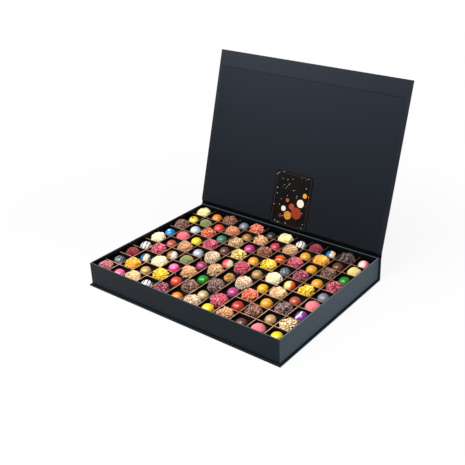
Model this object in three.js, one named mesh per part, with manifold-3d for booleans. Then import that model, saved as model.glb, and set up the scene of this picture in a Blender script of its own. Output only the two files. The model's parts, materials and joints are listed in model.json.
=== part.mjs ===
// A hinged presentation box of truffles: a paper-wrapped board case with a lid and a spine, a wrapped tray
// glued into it, a raised card floor, a lattice of slotted dividers, the truffles and a card on the lid.
// Millimetres, +Z up, +X along the front, +Y towards the hinge. The origin is the middle of the underside.
import * as THREE from 'three';
import { mergeVertices } from 'three/addons/utils/BufferGeometryUtils.js';
import Module from 'manifold-3d';

const wasm = await Module();
wasm.setup();

// Chocolates: large rolled truffles and small moulded pralines take turns over the cells
const BLOCK_COLUMNS = 4; // in each of three blocks side by side
const COLUMNS = 3 * BLOCK_COLUMNS;
const ROWS = 9;
const LANE_ROWS = 5; // front rows of the middle block, which has no dividers between them
const TRUFFLE_DIAMETER = 29;
const TRUFFLE_HEIGHT = 14.6;
const PRALINE_DIAMETER = 22;
const PRALINE_HEIGHT = 11.4;
const FOOT_ANGLE = THREE.MathUtils.degToRad(-10); // where the flat foot cuts the round of a chocolate
const CHOCOLATE_SIDES = 8;
const CHOCOLATE_BANDS = 4;

// Cells and the slotted card dividers that make them
const COLUMN_CLEARANCE = 1.55; // between a large truffle and the dividers beside it
const ROW_CLEARANCE = 1.25; // between a large truffle and the dividers before and behind it
const DIVIDER_THICKNESS = 1.2;
const DIVIDER_HEIGHT = 7.2;
const SLOT_CLEARANCE = 0.3; // on each side of a divider in the slot that crosses it
const DIVIDER_END_CLEARANCE = 0.4;
const DIVIDER_TAIL = 2; // of a short row divider beyond its last slot

// Boards, papers and the thin line of glue between them
const CASE_BOARD = 2;
const TRAY_BOARD = 1.6;
const PAPER = 0.25;
const GLUE = 0.1;
const STAY_TAPE = 0.15;
const STAY_WIDTH = 14;
const STAY_END_MARGIN = 3;
const CASE_TURN_IN = 16; // paper turned over the board's edges and on to its other face
const TRAY_TURN_IN = 15; // paper turned under the tray
const CASE_OVERHANG = 3.5; // of the case beyond the tray's walls

// Raised floor of folded card
const PLATFORM_HEIGHT = 25;
const PLATFORM_CARD = 1;
const PLATFORM_BAYS = 3;
const PLATFORM_CLEARANCE = 0.4;

// Lid, its hinge and what lies on it
const LID_REST_ANGLE = THREE.MathUtils.degToRad(74); // of the open lid above level
const TRUFFLE_HEADROOM = 0.4; // under the level of the tray's rim
const LID_CLEARANCE = 0.3; // between the card and the rim when the lid is shut
const HINGE_UPPER = 3; // from the crease to the lid's board
const LINING_SIDE_MARGIN = 10;
const LINING_FRONT_MARGIN = 30;
const LINING_OVERLAP = 6; // of the lining over the turned-in cover paper
const CARD_WIDTH = 82;
const CARD_LENGTH = 103;
const CARD_THICKNESS = 0.4;
const CARD_GAP = 0.3;
const CARD_OFFSET = 6.5; // of the card's middle from the lid's middle
const CARD_HINGE_MARGIN = 0.5;

// Levels, from the table up
const baseBoardBottom = PAPER + GLUE;
const baseTop = baseBoardBottom + CASE_BOARD + GLUE + PAPER;
const trayBottom = baseTop + GLUE;
const trayBoardBottom = trayBottom + PAPER + GLUE;
const trayFloorTop = trayBoardBottom + TRAY_BOARD;
const platformBottom = trayFloorTop + GLUE;
const platformTop = platformBottom + PLATFORM_HEIGHT;
const sheetBottom = platformTop + GLUE;
const sheetTop = sheetBottom + PAPER;
const dividerBottom = sheetTop + GLUE;
const rim = sheetTop + TRUFFLE_HEIGHT + TRUFFLE_HEADROOM;

// Plan sizes, from the chocolates out
const columnCell = TRUFFLE_DIAMETER + 2 * COLUMN_CLEARANCE;
const rowCell = TRUFFLE_DIAMETER + 2 * ROW_CLEARANCE;
const columnPitch = columnCell + DIVIDER_THICKNESS;
const rowPitch = rowCell + DIVIDER_THICKNESS;
const innerX = COLUMNS * columnPitch - DIVIDER_THICKNESS;
const innerY = ROWS * rowPitch - DIVIDER_THICKNESS;
const wallInnerX = innerX + 2 * (PAPER + GLUE);
const wallInnerY = innerY + 2 * (PAPER + GLUE);
const wallOuterX = wallInnerX + 2 * TRAY_BOARD;
const wallOuterY = wallInnerY + 2 * TRAY_BOARD;
const stayLayer = GLUE + STAY_TAPE + GLUE;
const trayOuterX = wallOuterX + 2 * (stayLayer + PAPER);
const trayOuterY = wallOuterY + 2 * (stayLayer + PAPER);
const halfSlot = DIVIDER_THICKNESS / 2 + SLOT_CLEARANCE;
const caseX = trayOuterX + 2 * CASE_OVERHANG;
const caseBoardX = caseX - 2 * (PAPER + GLUE);

// The hinge crease lies in the middle of the cover paper, behind the spine and over the rim
const boardToPaper = PAPER / 2 + GLUE; // from the middle of the cover paper to the board's outer face
const turnInTop = boardToPaper + CASE_BOARD + GLUE + PAPER;
const liningTop = turnInTop + GLUE + PAPER;
const cardBottom = liningTop + CARD_GAP;
const creaseY = trayOuterY / 2 + GLUE + turnInTop;
const creaseZ = rim + LID_CLEARANCE + cardBottom + CARD_THICKNESS;
const lidEnd = creaseY + trayOuterY / 2 + CASE_OVERHANG; // from the crease to the lid's fore-edge

const COLOURS = {
  coverPaper: { color: 0x2a2d31, roughness: 0.62, metalness: 0 },
  liningPaper: { color: 0x26282c, roughness: 0.7, metalness: 0 },
  greyBoard: { color: 0x77736b, roughness: 0.9, metalness: 0 },
  stayTape: { color: 0xb9a98c, roughness: 0.85, metalness: 0 },
  dividerCard: { color: 0xb98f6e, roughness: 0.8, metalness: 0 },
  chocolate: { color: 0x8a4a36, roughness: 0.6, metalness: 0 },
  printedCard: { color: 0x1b1a1c, roughness: 0.35, metalness: 0 },
};
const materials = {};
for (const [name, look] of Object.entries(COLOURS)) {
  materials[name] = new THREE.MeshStandardMaterial(look);
}

function namedMesh(name, geometry, material) {
  const mesh = new THREE.Mesh(geometry, material);
  mesh.name = name;
  return mesh;
}

// A box between two opposite corners
function boxBetween(low, high) {
  const size = high.map((value, axis) => value - low[axis]);
  const middle = high.map((value, axis) => (value + low[axis]) / 2);
  return new THREE.BoxGeometry(...size).translate(...middle);
}

// A box centred on the Z axis
function centredBox(sizeX, sizeY, bottom, top) {
  return boxBetween([-sizeX / 2, -sizeY / 2, bottom], [sizeX / 2, sizeY / 2, top]);
}

function toSolid(geometry) {
  const bare = geometry.clone();
  bare.deleteAttribute('normal');
  bare.deleteAttribute('uv');
  const merged = mergeVertices(bare, 1e-4);
  const mesh = new wasm.Mesh({
    numProp: 3,
    vertProperties: new Float32Array(merged.attributes.position.array),
    triVerts: new Uint32Array(merged.index.array),
  });
  return new wasm.Manifold(mesh);
}

function toGeometry(solid) {
  const mesh = solid.getMesh();
  const geometry = new THREE.BufferGeometry();
  geometry.setAttribute('position', new THREE.BufferAttribute(new Float32Array(mesh.vertProperties), 3));
  geometry.setIndex(new THREE.BufferAttribute(new Uint32Array(mesh.triVerts), 1));
  geometry.computeVertexNormals();
  return geometry;
}

function cut(geometry, ...tools) {
  let solid = toSolid(geometry);
  for (const tool of tools) {
    solid = solid.subtract(toSolid(tool));
  }
  return toGeometry(solid);
}

function join(geometry, ...others) {
  let solid = toSolid(geometry);
  for (const other of others) {
    solid = solid.add(toSolid(other));
  }
  return toGeometry(solid);
}

// One panel of the case. Its outer paper lies in the plane Z = 0, its inner face looks along +Z, and it runs
// along +Y from the fold at start. The paper is turned in over both sides and, unless farTurnIn is 0, over
// the far edge.
function casePanel(name, start, boardLength, sideTurnIn, farTurnIn) {
  const end = start + boardLength;
  const halfBoard = caseBoardX / 2;
  const boardTop = boardToPaper + CASE_BOARD;
  const board = boxBetween([-halfBoard, start, boardToPaper], [halfBoard, end, boardTop]);
  const farEdge = farTurnIn ? end + GLUE + PAPER : end;
  const beyond = GLUE + PAPER + GLUE;
  const wrap = boxBetween([-caseX / 2, start, -PAPER / 2], [caseX / 2, farEdge, turnInTop]);
  const pocket = boxBetween(
    [-halfBoard - GLUE, start - beyond, PAPER / 2],
    [halfBoard + GLUE, farTurnIn ? end + GLUE : end + beyond, boardTop + GLUE],
  );
  const window = boxBetween(
    [-caseX / 2 + sideTurnIn, start - beyond, boardTop],
    [caseX / 2 - sideTurnIn, farTurnIn ? farEdge - farTurnIn : end + beyond, turnInTop + beyond],
  );
  const panel = new THREE.Group();
  panel.add(namedMesh(`${name}_board`, board, materials.greyBoard));
  panel.add(namedMesh(`${name}_cover`, cut(wrap, pocket, window), materials.coverPaper));
  return panel;
}

function base() {
  const boardLength = lidEnd - boardToPaper - PAPER - GLUE;
  const panel = casePanel('base', boardToPaper, boardLength, CASE_TURN_IN, CASE_TURN_IN);
  panel.position.set(0, creaseY, PAPER / 2);
  panel.rotation.z = Math.PI;
  return panel;
}

function spine() {
  const panel = casePanel('spine', baseTop + GLUE, rim - baseTop - GLUE, CASE_TURN_IN, 0);
  panel.position.set(0, creaseY, 0);
  panel.rotation.x = Math.PI / 2;
  return panel;
}

// The lining is glued to the board inside the turn-ins and lies over them round its edge
function lidLining() {
  const sheetSide = caseX / 2 - LINING_SIDE_MARGIN;
  const sheetEnd = lidEnd - LINING_FRONT_MARGIN;
  const seatInset = LINING_OVERLAP + GLUE;
  const sheet = boxBetween([-sheetSide, HINGE_UPPER, turnInTop + GLUE], [sheetSide, sheetEnd, liningTop]);
  const seat = boxBetween(
    [-sheetSide + seatInset, HINGE_UPPER, boardToPaper + CASE_BOARD + GLUE],
    [sheetSide - seatInset, sheetEnd - seatInset, liningTop - PAPER / 2],
  );
  return namedMesh('lid_lining', join(sheet, seat), materials.liningPaper);
}

function greetingCard() {
  const card = boxBetween(
    [CARD_OFFSET - CARD_WIDTH / 2, CARD_HINGE_MARGIN, cardBottom],
    [CARD_OFFSET + CARD_WIDTH / 2, CARD_HINGE_MARGIN + CARD_LENGTH, cardBottom + CARD_THICKNESS],
  );
  return namedMesh('greeting_card', card, materials.printedCard);
}

function lid() {
  const sideTurnIn = LINING_SIDE_MARGIN + LINING_OVERLAP;
  const frontTurnIn = LINING_FRONT_MARGIN + LINING_OVERLAP;
  const panel = casePanel('lid', HINGE_UPPER, lidEnd - PAPER - GLUE - HINGE_UPPER, sideTurnIn, frontTurnIn);
  panel.add(lidLining());
  panel.add(greetingCard());
  panel.position.set(0, creaseY, creaseZ);
  panel.rotation.x = LID_REST_ANGLE;
  return panel;
}

// Cover paper and lining glued back to back between the spine and the lid, creased in the middle
function hingeStrip() {
  const half = PAPER;
  const lower = rim + GLUE - creaseZ;
  const upper = HINGE_UPPER - GLUE;
  const along = new THREE.Vector2(Math.cos(LID_REST_ANGLE), Math.sin(LID_REST_ANGLE));
  const inward = new THREE.Vector2(-along.y, along.x);
  const mitre = half * Math.tan((Math.PI / 2 - LID_REST_ANGLE) / 2);
  const top = along.clone().multiplyScalar(upper);
  const outline = new THREE.Shape([
    new THREE.Vector2(half, lower),
    new THREE.Vector2(half, -mitre),
    top.clone().addScaledVector(inward, -half),
    top.clone().addScaledVector(inward, half),
    new THREE.Vector2(-half, mitre),
    new THREE.Vector2(-half, lower),
  ]);
  const strip = new THREE.ExtrudeGeometry(outline, { depth: caseX, bevelEnabled: false });
  strip.rotateY(Math.PI / 2).rotateX(Math.PI / 2);
  const mesh = namedMesh('hinge_strip', strip, materials.coverPaper);
  mesh.position.set(-caseX / 2, creaseY, creaseZ);
  return mesh;
}

// The long walls run the full length and the short ones stand between them
function trayBoards() {
  const top = rim - PAPER - GLUE;
  const outX = wallOuterX / 2;
  const outY = wallOuterY / 2;
  const inX = wallInnerX / 2;
  const inY = wallInnerY / 2;
  const boards = {
    tray_floor: centredBox(wallInnerX - 2 * GLUE, wallInnerY - 2 * GLUE, trayBoardBottom, trayFloorTop),
    tray_front_wall: boxBetween([-outX, -outY, trayBoardBottom], [outX, -inY, top]),
    tray_rear_wall: boxBetween([-outX, inY, trayBoardBottom], [outX, outY, top]),
    tray_left_wall: boxBetween([-outX, -inY + GLUE, trayBoardBottom], [-inX, inY - GLUE, top]),
    tray_right_wall: boxBetween([inX, -inY + GLUE, trayBoardBottom], [outX, inY - GLUE, top]),
  };
  return Object.entries(boards).map(([name, board]) => namedMesh(name, board, materials.greyBoard));
}

// A strip of tape folded round each outer corner of the walls
function cornerStays() {
  const inner = GLUE;
  const outer = GLUE + STAY_TAPE;
  const height = rim - PAPER - GLUE - trayBoardBottom - 2 * STAY_END_MARGIN;
  const outline = new THREE.Shape([
    new THREE.Vector2(outer, outer),
    new THREE.Vector2(-STAY_WIDTH, outer),
    new THREE.Vector2(-STAY_WIDTH, inner),
    new THREE.Vector2(inner, inner),
    new THREE.Vector2(inner, -STAY_WIDTH),
    new THREE.Vector2(outer, -STAY_WIDTH),
  ]);
  const corners = [
    ['corner_stay_rear_right', 1, 1],
    ['corner_stay_rear_left', -1, 1],
    ['corner_stay_front_left', -1, -1],
    ['corner_stay_front_right', 1, -1],
  ];
  return corners.map(([name, sideX, sideY], quarter) => {
    const stay = new THREE.ExtrudeGeometry(outline, { depth: height, bevelEnabled: false });
    stay.rotateZ((quarter * Math.PI) / 2);
    const mesh = namedMesh(name, stay, materials.stayTape);
    mesh.position.set((sideX * wallOuterX) / 2, (sideY * wallOuterY) / 2, trayBoardBottom + STAY_END_MARGIN);
    return mesh;
  });
}

// Paper round the outside of the tray, turned under it, and over the rim down to the floor inside
function trayWrap() {
  const outside = centredBox(trayOuterX, trayOuterY, trayBottom, rim);
  const pocketTop = rim - PAPER;
  const legBottom = trayFloorTop + GLUE;
  const pocketOuter = centredBox(
    trayOuterX - 2 * PAPER, trayOuterY - 2 * PAPER, trayBottom + PAPER, pocketTop,
  );
  const pocketCore = centredBox(innerX + 2 * PAPER, innerY + 2 * PAPER, legBottom, rim);
  const pocket = cut(pocketOuter, pocketCore);
  const cavity = centredBox(innerX, innerY, trayBottom + PAPER, rim + PAPER);
  const window = centredBox(
    trayOuterX - 2 * TRAY_TURN_IN, trayOuterY - 2 * TRAY_TURN_IN, trayBottom - PAPER, trayBottom + 2 * PAPER,
  );
  return namedMesh('tray_wrap', cut(outside, pocket, cavity, window), materials.coverPaper);
}

// A card panel folded down at its edges, with ribs that split the space under it into bays
function platform() {
  const sizeX = innerX - 2 * PLATFORM_CLEARANCE;
  const sizeY = innerY - 2 * PLATFORM_CLEARANCE;
  const bayPitch = (sizeX - PLATFORM_CARD) / PLATFORM_BAYS;
  const bays = [];
  for (let bay = 0; bay < PLATFORM_BAYS; bay += 1) {
    const left = -sizeX / 2 + PLATFORM_CARD + bay * bayPitch;
    bays.push(boxBetween(
      [left, -sizeY / 2 + PLATFORM_CARD, platformBottom - PLATFORM_CARD],
      [left + bayPitch - PLATFORM_CARD, sizeY / 2 - PLATFORM_CARD, platformTop - PLATFORM_CARD],
    ));
  }
  const block = centredBox(sizeX, sizeY, platformBottom, platformTop);
  return namedMesh('raised_floor', cut(block, ...bays), materials.greyBoard);
}

// Middle of a cell, counted from the front left
function cellMiddle(column, row) {
  return new THREE.Vector2(
    -innerX / 2 + columnCell / 2 + column * columnPitch,
    -innerY / 2 + rowCell / 2 + row * rowPitch,
  );
}

// An oval round cut off flat at its foot, which is sunk into the sheet that it stands on
function chocolate(diameter, height) {
  const footDrop = Math.sin(-FOOT_ANGLE);
  const rise = height / (1 + footDrop);
  const middle = rise * footDrop;
  const sunk = PAPER / 2;
  const footRadius = (diameter / 2) * Math.cos(FOOT_ANGLE);
  const profile = [new THREE.Vector2(0, -sunk), new THREE.Vector2(footRadius, -sunk)];
  for (let band = 0; band < CHOCOLATE_BANDS; band += 1) {
    const angle = THREE.MathUtils.lerp(FOOT_ANGLE, Math.PI / 2, band / CHOCOLATE_BANDS);
    profile.push(new THREE.Vector2((diameter / 2) * Math.cos(angle), middle + rise * Math.sin(angle)));
  }
  profile.push(new THREE.Vector2(0, height));
  return new THREE.LatheGeometry(profile, CHOCOLATE_SIDES).rotateX(Math.PI / 2);
}

// The paper sheet on the raised floor, with every chocolate on it
function truffleLayer() {
  const sizeX = innerX - 2 * PLATFORM_CLEARANCE;
  const sizeY = innerY - 2 * PLATFORM_CLEARANCE;
  const sheet = centredBox(sizeX, sizeY, sheetBottom, sheetTop);
  const pieces = [];
  for (let row = 0; row < ROWS; row += 1) {
    for (let column = 0; column < COLUMNS; column += 1) {
      const isTruffle = (row + column) % 2 === 0;
      const piece = isTruffle
        ? chocolate(TRUFFLE_DIAMETER, TRUFFLE_HEIGHT)
        : chocolate(PRALINE_DIAMETER, PRALINE_HEIGHT);
      const middle = cellMiddle(column, row);
      pieces.push(piece.translate(middle.x, middle.y, sheetTop));
    }
  }
  return namedMesh('truffle_layer', join(sheet, ...pieces), materials.chocolate);
}

// A divider's outline, its length along X and its height along Y, with a half-height slot at each crossing
function dividerShape(start, end, crossings, slotsOpenUp) {
  const slotEnd = DIVIDER_HEIGHT / 2 + (slotsOpenUp ? -SLOT_CLEARANCE : SLOT_CLEARANCE) / 2;
  const slotted = slotsOpenUp ? DIVIDER_HEIGHT : 0;
  const plain = DIVIDER_HEIGHT - slotted;
  const outline = new THREE.Shape();
  outline.moveTo(start, plain);
  outline.lineTo(start, slotted);
  for (const crossing of crossings) {
    outline.lineTo(crossing - halfSlot, slotted);
    outline.lineTo(crossing - halfSlot, slotEnd);
    outline.lineTo(crossing + halfSlot, slotEnd);
    outline.lineTo(crossing + halfSlot, slotted);
  }
  outline.lineTo(end, slotted);
  outline.lineTo(end, plain);
  outline.closePath();
  return outline;
}

function dividerStrip(start, end, crossings, slotsOpenUp) {
  const outline = dividerShape(start, end, crossings, slotsOpenUp);
  const strip = new THREE.ExtrudeGeometry(outline, { depth: DIVIDER_THICKNESS, bevelEnabled: false });
  return strip.translate(0, 0, -DIVIDER_THICKNESS / 2).rotateX(Math.PI / 2);
}

// Lines between the cells, from one wall to the other
function dividerLines(cells, cell, pitch, inner) {
  const lines = [];
  for (let line = 1; line < cells; line += 1) {
    lines.push(-inner / 2 + cell + DIVIDER_THICKNESS / 2 + (line - 1) * pitch);
  }
  return lines;
}

// Row dividers run along X with slots open upwards. Each front one is in two pieces, one for each side block,
// so that the middle block's front rows are open lanes.
function rowDividers(columnLines, rowLines) {
  const wall = innerX / 2 - DIVIDER_END_CLEARANCE;
  const tail = halfSlot + DIVIDER_TAIL;
  const leftLines = columnLines.slice(0, BLOCK_COLUMNS);
  const rightLines = columnLines.slice(-BLOCK_COLUMNS);
  return rowLines.flatMap((line, index) => {
    const name = `row_divider_${index + 1}`;
    const strips = index + 1 < LANE_ROWS
      ? {
        [`${name}_left`]: dividerStrip(-wall, leftLines.at(-1) + tail, leftLines, true),
        [`${name}_right`]: dividerStrip(rightLines[0] - tail, wall, rightLines, true),
      }
      : { [name]: dividerStrip(-wall, wall, columnLines, true) };
    return Object.entries(strips).map(([stripName, strip]) => {
      const mesh = namedMesh(stripName, strip, materials.dividerCard);
      mesh.position.set(0, line, dividerBottom);
      return mesh;
    });
  });
}

// Column dividers run along Y and drop over the row dividers that cross them
function columnDividers(columnLines, rowLines) {
  const wall = innerY / 2 - DIVIDER_END_CLEARANCE;
  return columnLines.map((line, index) => {
    const isBetweenLanes = index >= BLOCK_COLUMNS && index < columnLines.length - BLOCK_COLUMNS;
    const crossings = isBetweenLanes ? rowLines.slice(LANE_ROWS - 1) : rowLines;
    const strip = dividerStrip(-wall, wall, crossings, false).rotateZ(Math.PI / 2);
    const mesh = namedMesh(`column_divider_${index + 1}`, strip, materials.dividerCard);
    mesh.position.set(line, 0, dividerBottom);
    return mesh;
  });
}

function dividers() {
  const columnLines = dividerLines(COLUMNS, columnCell, columnPitch, innerX);
  const rowLines = dividerLines(ROWS, rowCell, rowPitch, innerY);
  return [...rowDividers(columnLines, rowLines), ...columnDividers(columnLines, rowLines)];
}

const box = new THREE.Group();
box.add(base(), spine(), lid(), hingeStrip());
box.add(...trayBoards(), ...cornerStays(), trayWrap());
box.add(platform(), truffleLayer(), ...dividers());

export default box;
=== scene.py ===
import json
import math

import bpy
import numpy as np
from mathutils import Matrix, Vector, noise


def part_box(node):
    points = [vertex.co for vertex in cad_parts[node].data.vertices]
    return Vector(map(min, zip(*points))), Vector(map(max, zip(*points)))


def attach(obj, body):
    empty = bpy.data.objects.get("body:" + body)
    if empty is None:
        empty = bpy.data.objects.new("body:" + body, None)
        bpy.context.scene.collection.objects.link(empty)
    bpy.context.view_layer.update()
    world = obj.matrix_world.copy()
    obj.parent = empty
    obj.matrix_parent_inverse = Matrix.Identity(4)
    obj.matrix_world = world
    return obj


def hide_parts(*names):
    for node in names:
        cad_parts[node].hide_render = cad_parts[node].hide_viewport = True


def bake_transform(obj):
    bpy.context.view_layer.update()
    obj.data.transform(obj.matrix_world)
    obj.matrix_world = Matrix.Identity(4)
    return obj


# Looks of a hinged presentation box of truffles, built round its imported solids.
# Metres, +X along the front, +Y towards the hinge, +Z up.
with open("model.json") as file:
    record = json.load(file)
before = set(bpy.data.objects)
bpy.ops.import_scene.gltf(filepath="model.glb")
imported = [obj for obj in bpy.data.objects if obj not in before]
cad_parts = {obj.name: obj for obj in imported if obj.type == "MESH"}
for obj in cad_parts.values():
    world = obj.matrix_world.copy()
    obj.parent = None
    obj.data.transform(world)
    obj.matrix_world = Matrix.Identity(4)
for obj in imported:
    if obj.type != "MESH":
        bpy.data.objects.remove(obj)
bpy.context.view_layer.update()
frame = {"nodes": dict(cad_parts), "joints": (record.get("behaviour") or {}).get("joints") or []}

MM = 0.001
FULL_TURN = 2 * math.pi
GOLDEN_RATIO = (1 + math.sqrt(5)) / 2
GOLDEN_ANGLE = math.pi * (3 - math.sqrt(5))
WHITE = (1, 1, 1, 1)

# Papers. A level is the shader's specular level
PAPER_SHEEN = (0.58, 0.76, 1.0, 1)
GRAIN_CHANGE = 0.06  # of the roughness, from grain to grain
COVER_CODE = "#13181b"
COVER_ROUGHNESS = 0.42
COVER_LEVEL = 0.16
LID_CODE = "#15161a"
TRAY_CODE = "#161b1f"
TRAY_LEVEL = 0.09
RIM_HIGHLIGHT_CODE = "#4c5358"  # painted highlight on the tray's rim
RIM_HIGHLIGHT_FADE = (0.6, 0.95)  # upward part of the normal, over which the painted highlight lightens the rim
INSIDE_CODE = "#0a0b0d"  # of the tray's inside
INSIDE_FADE = (-60, -90)  # millimetres from the middle along the normal, below 0 on faces that look inwards
# Painted shade in the gutter behind the tray, on the spine's top and on the hinge strip
GUTTER_SHADE_CODE = "#060708"
GUTTER_SHADE_LEVEL = 0.04
GUTTER_SHADE_FADE = (0.2, 0.6)  # upward part of the normal, over which painted shade darkens the spine
LINING_CODE = "#0b0c10"
LINING_ROUGHNESS = 0.52
LINING_LEVEL = 0.23
FORE_EDGE_SHADOW_CODE = "#060608"  # of a painted shadow line along the lining's fore edge
FORE_EDGE_SHADOW_LEVEL = 0.12
FORE_EDGE_SHADOW_WIDTH = 1.1  # millimetres
FORE_EDGE_SHADOW_SOFT = 0.3

# Boards, tape, dividers and the sheet under the chocolates
BOARD_CODES = ("#5f5b54", "#77736b", "#8d897f")  # dark, main and light
TAPE_CODES = ("#a3926f", "#b9a98c", "#c9bb9f")
DIVIDER_CODE = "#100e0d"
DIVIDER_DUST = "#3a2a22"
TAN_CODES = ("#ba8c6e", "#e8bc9c")  # dark and light fibres of the dividers' bare edges
# worn tan of the edges, also used as painted shade towards the back
WORN_AND_SHADED_CODE = "#765039"
DEPTH_SHADE_FADE = (-110, 110)  # millimetres back from the middle, over which painted shade dulls the edges towards the back
DEPTH_SHADE_SHARE = 0.5
BACK_SHADOW_CODE = "#2c2019"
BACK_SHADOW_FADE = (114, 120)  # and over which a painted shadow turns them dark by the back wall
BACK_SHADOW_SHARE = 0.75
SHEET_CODES = ("#0c0b0c", "#2c1f19", "#7a5540")  # the sheet, and fine and coarse crumbs on it

# Paper-wrapped boards
PAPER = 0.25 * MM
GLUE = 0.1 * MM
EDGE_RADIUS = 0.7 * MM  # of a wrapped edge, seen in section
CORNER_RADIUS = 0.7 * MM  # of a wrapped corner, seen in plan
RIM_RADIUS = 1.1 * MM  # of the tray's rim
FOOT_RADIUS = 1.6 * MM  # of the tray's bottom edge
SHEET_EDGE = 0.1 * MM  # radius of the lining's edge
SHARP_RADIUS = 0.02 * MM
FLAT_MARGIN = 0.6 * MM  # of a flat face beside a rounded edge
CASE_TURN_IN = 14 * MM
LID_TURN_IN = 36 * MM  # reaches under the lining sheet
TRAY_TURN_IN = 15 * MM
ARC_STEPS = 5
HINGE_THICKNESS = 2 * PAPER
HINGE_STEPS = 24

# The card's print, in millimetres from its lower left corner
CARD_CODE = "#0c0b0c"
CARD_GROUND = ("#08090b", "#120b0a")
CARD_SPECKS = "#b9b7b2"
CARD_LINE = "#30281f"  # of a thin frame
CARD_LINE_FADE = (0.3, 0.5)  # half widths of the line, from full to faded
CARD_MARGIN = 3.5  # from the line to the card's edge
INK_SOFT = 0.3  # softness of a disc's edge
CARD_DISCS = (  # middle, radius and colour
    ((56, 30, 0), 11, "#7a2c1c"),
    ((38, 22, 0), 8, "#a8702a"),
    ((62, 50, 0), 7.5, "#c6bdb0"),
    ((44, 40, 0), 6, "#8c3a1c"),
    ((27, 33, 0), 5, "#c6bdb0"),
    ((69, 66, 0), 4.5, "#b88028"),
    ((33, 50, 0), 3.5, "#9c481c"),
    ((22, 18, 0), 3.5, "#5a2a1a"),
)

# Chocolates. Shares are the least and most of the full size
TRUFFLE_DIAMETER = 29 * MM
TRUFFLE_HEIGHT = 14.6 * MM
PRALINE_DIAMETER = 22 * MM
PRALINE_HEIGHT = 11.4 * MM
FOOT_ANGLE = math.radians(-10)  # below the middle of a ball, where it is cut off flat
COATED_SHARE = (0.97, 1.0)
COATED_HEIGHT = 1.02  # of a crumb-coated truffle, as a share of the full height
DUSTED_SHARE = (0.81, 0.87)
POWDER_SHARE = (0.84, 0.92)
SHELL_SHARE = (0.87, 0.96)
POWDER_LUMPS = (3.0, 0.05)  # number and depth of the lumps in a ball
SHELL_LUMPS = (1.2, 0.02)
NOISE_REACH = 50  # of the place in the noise that a chocolate takes
TRUFFLE_WANDER = 0.5 * MM  # from the middle of the cell
PRALINE_WANDER = 1.2 * MM
LANE_SLIDES = {4: 2.5 * MM, 5: 0.5 * MM, 6: -4.5 * MM, 7: -4.5 * MM}  # in the columns without row dividers
SLID_ROWS = range(1, 4)
SEED = 11

# Crumb coats, on a ball of radius 1 unless said otherwise
CRUMB_SIZES = {  # length, width and thickness in metres
    "chunk": (5.2 * MM, 4.4 * MM, 3.6 * MM),
    "flake": (4.2 * MM, 3.2 * MM, 2.6 * MM),
    "grain": (2.8 * MM, 2.3 * MM, 2.0 * MM),
    "dust": (2.0 * MM, 1.8 * MM, 1.5 * MM),
}
CRUMB_DEPTHS = {"chunk": (0.84, 1.0), "flake": (0.86, 0.98), "grain": (0.88, 0.97), "dust": (0.92, 0.97)}
CRUMB_LUMPS = {"chunk": 0.2, "flake": 0.14, "grain": 0.08, "dust": 0.1}  # depth of the whole coat's lumps
COAT_LUMPS = 1.8  # number of the lumps
CRUMB_SPACING = 1.35  # of a crumb's half width
CRUMB_SCATTER = 0.3  # of the spacing
CRUMB_TILT = 0.35
CRUMB_STRETCH = (0.7, 1.3)  # of a crumb along each of its axes
CORNER_STRETCH = (0.75, 1.2)  # of each corner of a crumb
CRUMB_FOOT = -0.15  # height of the lowest crumbs
CORE_RADIUS = 0.92
COATED_REACH = (1.0, 1.1)  # of most crumbs and of the farthest one
REACH_CENTILE = 95
TOP_CENTILE = 99
GAP_SHADE_REACH = 0.86  # where the painted shade in the gaps between crumbs is darkest
CREST_REACH = 1.02  # of the crumbs' crests
# share of the tone left on the deepest crumbs, as painted shade in the gaps
GAP_SHADE_TONE = 0.3
TONE_RANGE = (0.6, 1.1)  # from crumb to crumb
# the lightest crumbs, which only the crests reach: random tone with a painted highlight
CRUMB_LIGHT = (1, 0.97, 0.92, 1)
GRAIN_SHADE = (0.84, 0.8, 0.78, 1)

# Patterns that are brushed, piped or sprayed on shells, and painted highlights on them, on a ball of radius 1
SPRAY_SIDE = (0.85, 0.43, -0.32)
HALF_FADE = (0.25, 0.7)
# heights on the ball over which the painted highlight fades in
HIGHLIGHT_CROWN_FADE = (1.1, 1.35)
BAND_PLACE = 0.1
BAND_HALF = 0.42
LINE_SIDE = (0.75, 0.17, -0.64)
LINE_PLACE = -0.66
LINE_HALF = 0.07
BRUSH_SOFT = 0.05
STREAK_SPACING = 0.6
STREAK_FADE = (0.07, 0.11)  # half widths, from full to faded
# where the dot lies: a pattern on sunspot, a painted highlight on sky
DOT_PLACE = (0, -0.25, 0.95)
DOT_FADE = (0.2, 0.26)
HAND_WAVER = 0.12
SPATTER_CODE = "#d2dce6"
PLACED_FINISHES = ("streak", "line", "band", "half", "crown", "dot")  # the same way round on every chocolate

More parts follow.
